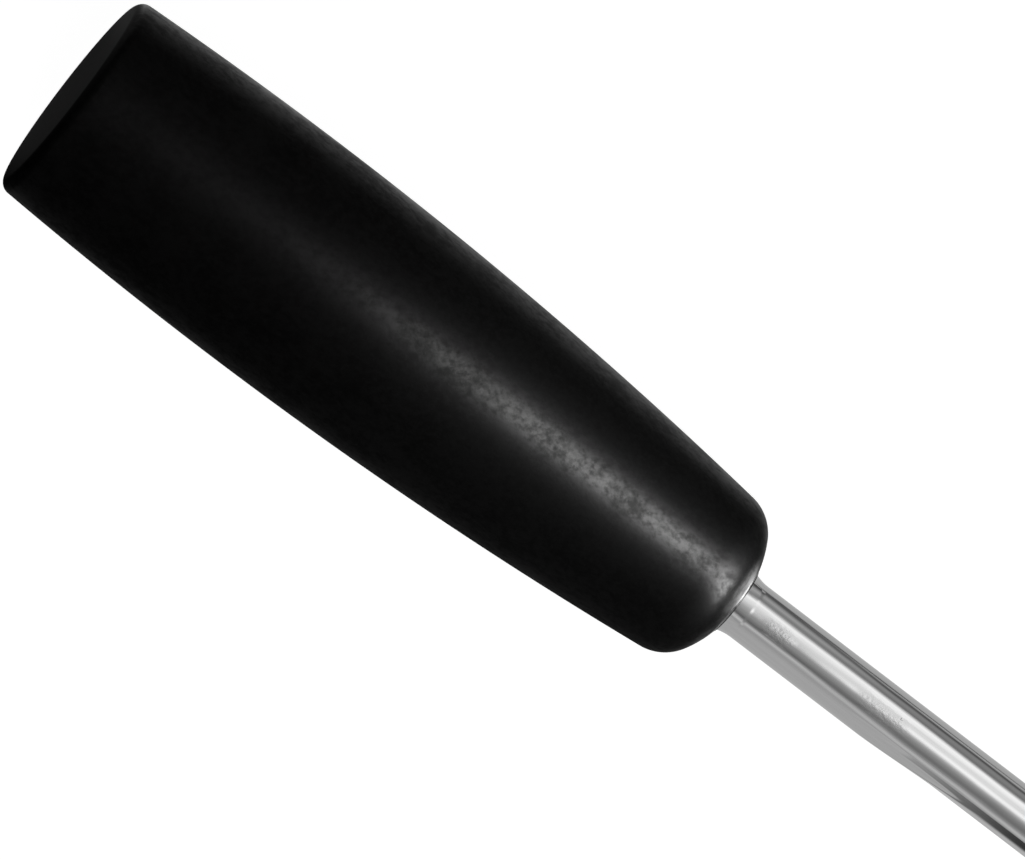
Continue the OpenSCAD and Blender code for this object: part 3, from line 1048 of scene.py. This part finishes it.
def ground_mesh(name):
    bm = bmesh.new()
    bmesh.ops.create_grid(bm, x_segments=4, y_segments=4, size=GROUND_SIZE)
    return mesh_of(name, bm)


def dimmed(tree, level, zone, share):
    """The level, brought down (or up) to a share of itself where the zone is 1."""
    return times(tree, level, blend(tree, zone, 1.0, share))


def behind_butt(tree, x, y):
    """1 past the butt, on the near side of the stick: where the floor and the apron get painted shadow."""
    return times(tree, span(tree, x, *BEHIND_X_SPAN), span(tree, y, *BEHIND_Y_SPAN))


def build_floor(receivers):
    """Pale floor. In the bright metal its glow is painted light bounced off it: darker at the back, with
    painted shadow round the handle, behind the butt and along a strip beside the rod.
    """
    mat, tree, place = placed_material("floor")
    x, y = place["X"], place["Y"]
    matt = tree.nodes.new("ShaderNodeBsdfDiffuse")
    matt.inputs["Color"].default_value = (FLOOR_SEEN_ALBEDO, FLOOR_SEEN_ALBEDO, FLOOR_SEEN_ALBEDO, 1)
    both = tree.nodes.new("ShaderNodeAddShader")
    tree.links.new(glow(tree, "ShaderNodeEmission", FLOOR_SEEN_LEVEL), both.inputs[0])
    tree.links.new(matt.outputs["BSDF"], both.inputs[1])

    back = times(tree, span(tree, y, *BACK_SPAN), span(tree, x, *FLOOR_BACK_X_SPAN))
    # Painted shadow in the floor's glow: beside the handle, behind the butt and in a strip along the rod.
    beside = times(tree, span(tree, x, *BESIDE_X_SPAN), span(tree, y, *NEAR_SIDE_SPAN))
    shadow_strip = times(tree, span(tree, distance_from(tree, y, SHADOW_STRIP_Y), *SHADOW_STRIP_Y_SPAN), span(tree, x, *SHADOW_STRIP_X_SPAN))
    level = blend(tree, back, FLOOR_LEVEL, FLOOR_BACK_LEVEL)
    level = dimmed(tree, level, beside, FLOOR_BESIDE_SHARE)
    level = dimmed(tree, level, behind_butt(tree, x, y), FLOOR_BEHIND_SHARE)
    level = dimmed(tree, level, shadow_strip, SHADOW_STRIP_SHARE)
    bounced = glow(tree, "ShaderNodeEmission", level)
    out = tree.nodes.new("ShaderNodeOutputMaterial")
    tree.links.new(ray_split(tree, both.outputs["Shader"], bounced), out.inputs["Surface"])
    stage_piece("floor", ground_mesh("floor"), mat, receivers, CAD_LOW.z - FLOOR_DROP, seen=True)


def build_apron(receivers):
    """A clear sheet just above the floor, which the grip reflects. Its glow is painted light bounced off the
    floor: dimmer at the back and ahead, brighter towards the butt, and dimmer on the near side and behind
    the butt, where it is painted shadow.
    """
    mat, tree, place = placed_material("apron")
    x, y = place["X"], place["Y"]
    level = blend(tree, span(tree, y, *BACK_SPAN), APRON_LEVEL, APRON_BACK_LEVEL)
    level = dimmed(tree, level, span(tree, x, *APRON_BUTT_SPAN), APRON_BUTT_SHARE)
    # Painted shadow: less glow on the near side and behind the butt.
    level = dimmed(tree, level, span(tree, y, *NEAR_SIDE_SPAN), APRON_NEAR_SIDE_SHARE)
    level = dimmed(tree, level, behind_butt(tree, x, y), APRON_BEHIND_SHARE)
    level = dimmed(tree, level, span(tree, x, *APRON_AHEAD_SPAN), APRON_AHEAD_SHARE)
    clear_glow(tree, level)
    stage_piece("apron", ground_mesh("apron"), mat, receivers, CAD_LOW.z - APRON_DROP)


CARD_X = (0.1072, 0.116)
CARD_Y = (-0.0045, 0.0065)
CARD_LIFT = 0.0047
CARD_LEVEL = 3.0
CARD_CORE_X = CARD_X[0] + 0.003
CARD_CORE_Y = (CARD_Y[0] * -0.25, CARD_Y[1] * 0.2)


def build_card(receivers):
    """A small clear card over the root of the rod, whose glow shows on the nose of the grip."""
    mesh = bpy.data.meshes.new("card")
    (x0, x1), (y0, y1) = CARD_X, CARD_Y
    corners = [(x0, y0, CARD_LIFT), (x1, y0, CARD_LIFT), (x1, y1, CARD_LIFT), (x0, y1, CARD_LIFT)]
    mesh.from_pydata(corners, [], [(0, 1, 2, 3)])
    mat, tree, place = placed_material("card")
    near = span(tree, place["Y"], CARD_Y[0], CARD_CORE_Y[0])
    far = span(tree, place["Y"], CARD_Y[1], CARD_CORE_Y[1])
    ahead = span(tree, place["X"], CARD_X[1], CARD_CORE_X)
    clear_glow(tree, times(tree, times(tree, times(tree, near, far), ahead), CARD_LEVEL))
    stage_piece("card", mesh, mat, receivers)


MANDREL_MIDDLE = ((COLLAR_X + BUSH_END_X) / 2 * MM, 0, 0)
MANDREL_LAMP_SIZE = (0.6, 0.3)
MANDREL_LAMPS = [
    ("mandrel_front", (0.45, -0.45, 0.35), 9),
    ("mandrel_back", (0.15, 0.40, 0.40), 6),
]


def area_light(name, location, target, size, power, receivers):
    """A rectangular lamp that lights only the given objects."""
    data = bpy.data.lights.new(name, "AREA")
    data.shape = "RECTANGLE"
    data.size, data.size_y = size
    data.energy = power
    lamp = bpy.data.objects.new(name, data)
    lamp.location = location
    lamp.rotation_mode = "QUATERNION"
    lamp.rotation_quaternion = (Vector(target) - Vector(location)).to_track_quat("-Z", "Y")
    lamp.visible_camera = False
    bpy.context.scene.collection.objects.link(lamp)
    light_only(lamp, receivers)


def light_only(lamp, receivers):
    """Lets a lamp or glowing object light only the given objects."""
    lit = bpy.data.collections.new(lamp.name + "_lights")
    for receiver in receivers:
        lit.objects.link(receiver)
    lamp.light_linking.receiver_collection = lit


CAMERA_LENS = 830.0
SENSOR = 36.0
FRAME_WIDTH_MM = 130.2
CAMERA_TILT = math.radians(6.72)
CAMERA_SIDE = math.radians(15)
PICTURE_TURN = math.radians(37.387)
CAMERA_AIM = Vector((71.04, 0.1, 0)) * MM


def build_camera():
    """Camera far above the stick: the butt is at the upper left and the rod runs out of the frame."""
    data = bpy.data.cameras.new("camera")
    data.lens = CAMERA_LENS
    data.sensor_width = SENSOR
    data.clip_start = 0.05
    data.clip_end = 50
    camera = bpy.data.objects.new("camera", data)
    back = Vector((
        -math.sin(CAMERA_TILT),
        -math.cos(CAMERA_TILT) * math.sin(CAMERA_SIDE),
        math.cos(CAMERA_TILT) * math.cos(CAMERA_SIDE),
    ))
    along = (Vector((1, 0, 0)) - back * back.x).normalized()
    across = back.cross(along)
    right = along * math.cos(PICTURE_TURN) + across * math.sin(PICTURE_TURN)
    up = across * math.cos(PICTURE_TURN) - along * math.sin(PICTURE_TURN)
    turn = Matrix((right, up, back)).transposed().to_4x4()
    distance = FRAME_WIDTH_MM * MM * CAMERA_LENS / SENSOR
    camera.matrix_world = Matrix.Translation(CAMERA_AIM + back * distance) @ turn
    bpy.context.scene.collection.objects.link(camera)
    bpy.context.scene.camera = camera


grip = build_handle()
bright = [build_rod(), build_collar(), build_sleeve(), build_bush()]
finish_node("retaining_ring", SPRING)
finish_node("grub_screw", BLACK_STEEL)
finish_node("spring_washer", SPRING)
finish_node("tip_nut", NICKEL)
bright += [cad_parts[name] for name in ("retaining_ring", "grub_screw", "spring_washer", "tip_nut")]
build_world()
build_floor(bright)
build_apron([grip])
build_card([grip])
build_tent(bright)
build_strip([grip])
for lamp_name, lamp_place, lamp_power in MANDREL_LAMPS:
    area_light(lamp_name, lamp_place, MANDREL_MIDDLE, MANDREL_LAMP_SIZE, lamp_power, bright[1:])
build_camera()
bpy.context.scene.view_settings.view_transform = "Standard"
